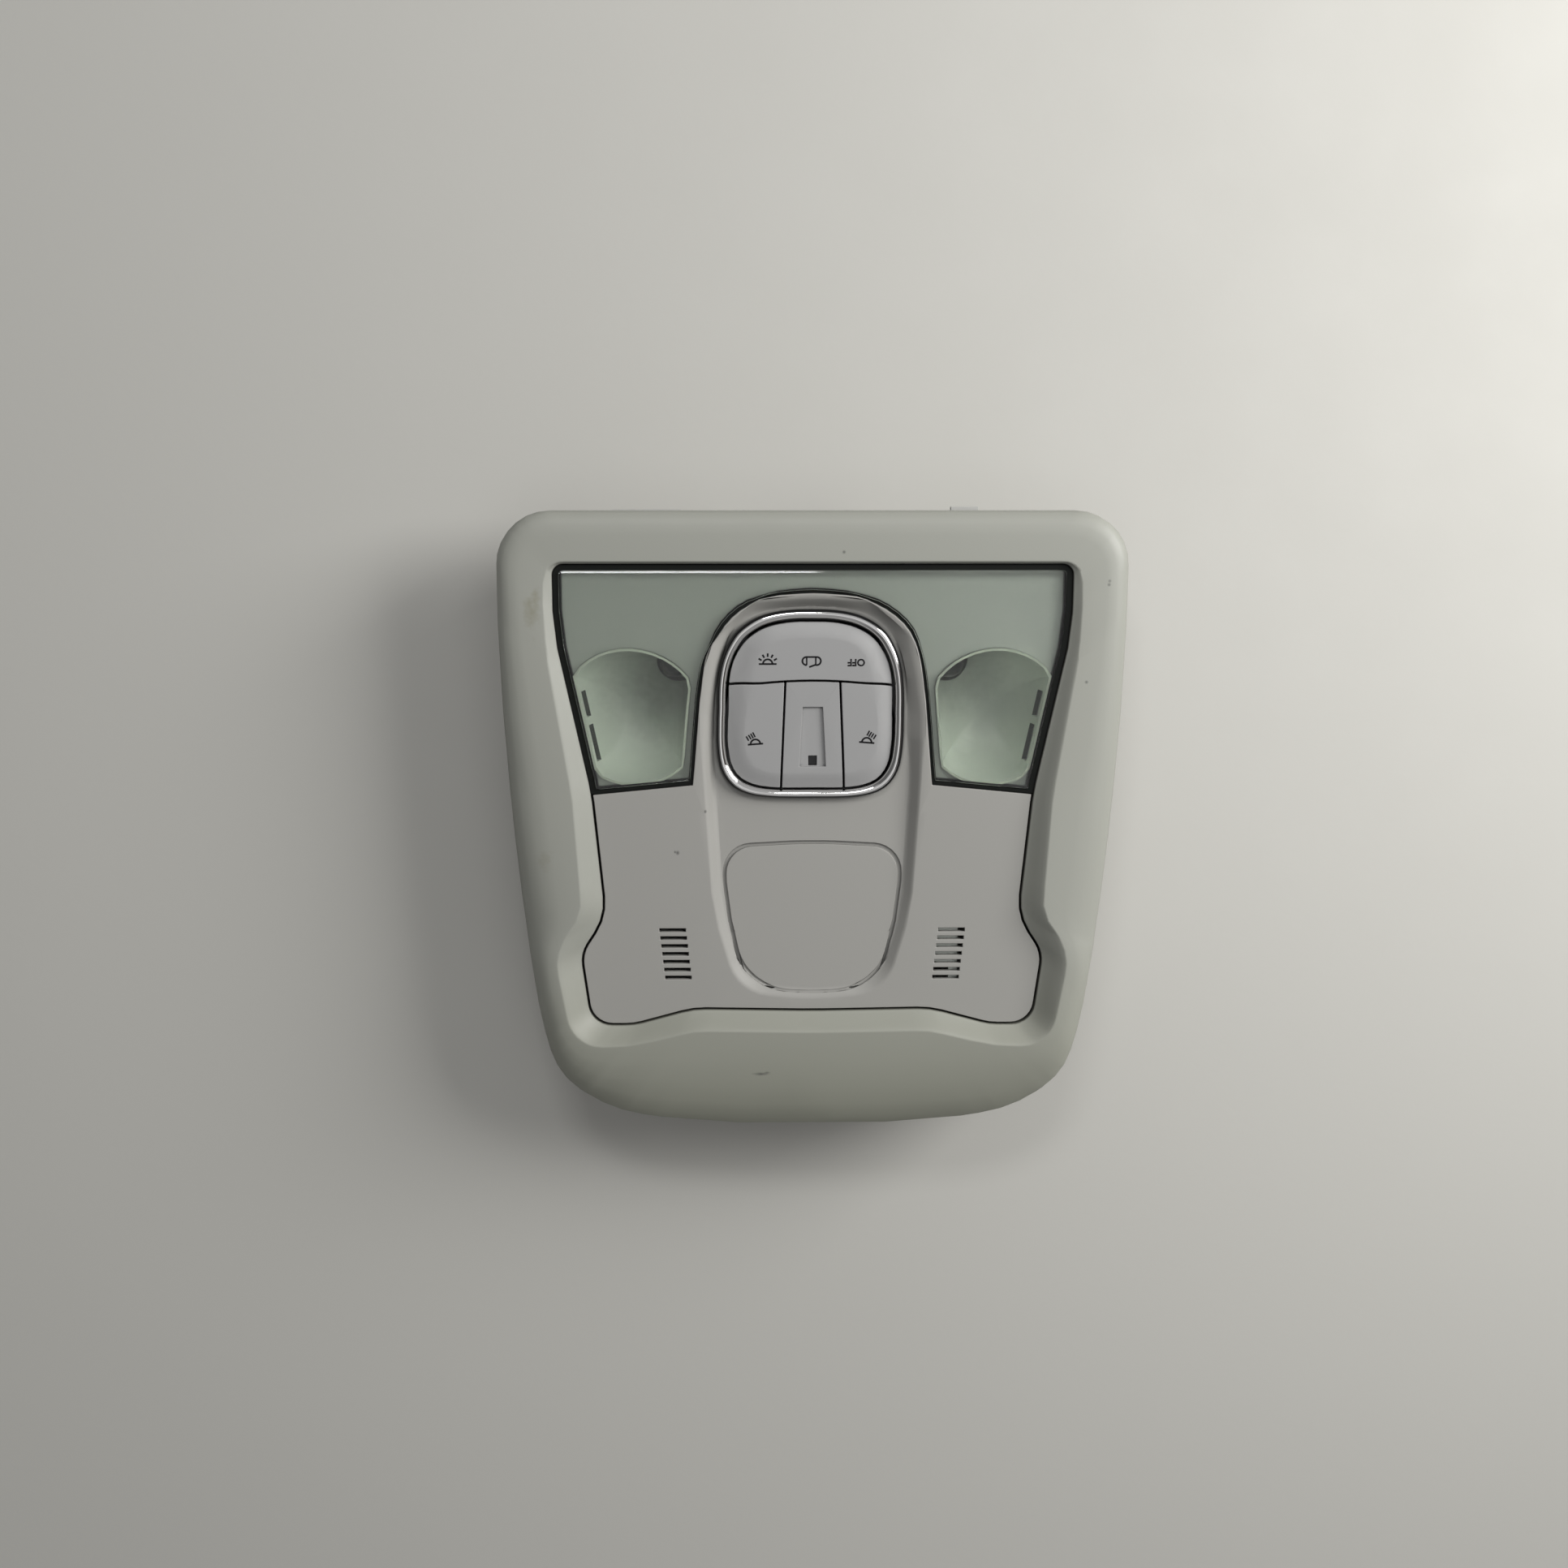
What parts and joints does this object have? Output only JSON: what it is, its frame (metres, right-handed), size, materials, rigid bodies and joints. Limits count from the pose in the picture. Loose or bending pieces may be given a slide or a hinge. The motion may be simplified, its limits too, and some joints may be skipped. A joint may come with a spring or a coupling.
{
  "type": "car interior light",
  "caption": "Roof console light with a wide lens over map lamps, a ringed rocker and push buttons, a pad and grilles.",
  "frame": {"origin": "under the middle of the bezel, level with the lowest point of the housing's back", "axes": "+Z out of the lit face, +Y towards the windscreen edge, +X to the right as the lit face is seen with the windscreen edge up"},
  "size_m": [0.2122, 0.2166, 0.05],
  "materials": {
    "bezel": "satin warm grey moulding",
    "control_panel": "satin grey moulding",
    "lens": "clear, faintly green polycarbonate",
    "lens_gasket": "black rubber",
    "reflector": "white, slightly green gloss",
    "chrome_ring": "bright plating",
    "rocker_button": "satin grey with black legends",
    "left_button": "satin grey with a black legend",
    "right_button": "satin grey with a black legend",
    "centre_insert": "satin grey",
    "light_guide": "smoked clear plastic",
    "switch_frame": "black",
    "rocker_pin": "plain steel",
    "slide_knob": "black",
    "slide_switch": "tinned can",
    "push_switches": "black",
    "left_plunger": "natural",
    "right_plunger": "natural",
    "ambient_led": "yellowish white",
    "circuit_board": "green solder mask",
    "connector_shell": "natural",
    "connector_pins": "tinned",
    "rear_housing": "black, fine texture",
    "left_bulb": "clear",
    "right_bulb": "clear",
    "left_bulb_holder": "dark grey",
    "right_bulb_holder": "dark grey",
    "left_contact": "plain",
    "right_contact": "plain",
    "microphone": "white",
    "spring_clips": "spring steel",
    "bezel_screws": "zinc plated",
    "panel_screws": "zinc plated"
  },
  "bodies": {
    "console": {"bezel": "bezel", "control_panel": "control_panel", "lens": "lens", "lens_gasket": "lens_gasket", "reflector": "reflector", "chrome_ring": "chrome_ring", "centre_insert": "centre_insert", "light_guide": "light_guide", "switch_frame": "switch_frame", "rocker_pin": "rocker_pin", "slide_switch": "slide_switch", "push_switches": "push_switches", "ambient_led": "ambient_led", "circuit_board": "circuit_board", "connector_shell": "connector_shell", "connector_pins": "connector_pins", "rear_housing": "rear_housing", "left_bulb": "left_bulb", "right_bulb": "right_bulb", "left_bulb_holder": "left_bulb_holder", "right_bulb_holder": "right_bulb_holder", "left_contact": "left_contact", "right_contact": "right_contact", "microphone": "microphone", "spring_clips": "spring_clips", "bezel_screws": "bezel_screws", "panel_screws": "panel_screws"},
    "rocker": {"rocker_button": "rocker_button"},
    "slider": {"slide_knob": "slide_knob"},
    "left_push": {"left_button": "left_button", "left_plunger": "left_plunger"},
    "right_push": {"right_button": "right_button", "right_plunger": "right_plunger"}
  },
  "joints": [
    {"name": "rocker_tilt", "type": "hinge", "parent": "console", "child": "rocker", "pos_m": [0, 0.06, 0.034], "axis": [0, 1, 0], "range_deg": [-3.2, 3.2]},
    {"name": "slider_shift", "type": "slide", "parent": "console", "child": "slider", "axis": [1, 0, 0], "range_m": [-0.0009, 0.0009]},
    {"name": "left_press", "type": "slide", "parent": "console", "child": "left_push", "axis": [0, 0, -1], "range_m": [0, 0.0012], "stiffness_N_per_m": 700, "springref_m": -0.001},
    {"name": "right_press", "type": "slide", "parent": "console", "child": "right_push", "axis": [0, 0, -1], "range_m": [0, 0.0012], "stiffness_N_per_m": 700, "springref_m": -0.001}
  ],
  "couplings": [
    {"joint": "slider_shift", "follows": "rocker_tilt", "m_per_rad": -0.01365}
  ]
}
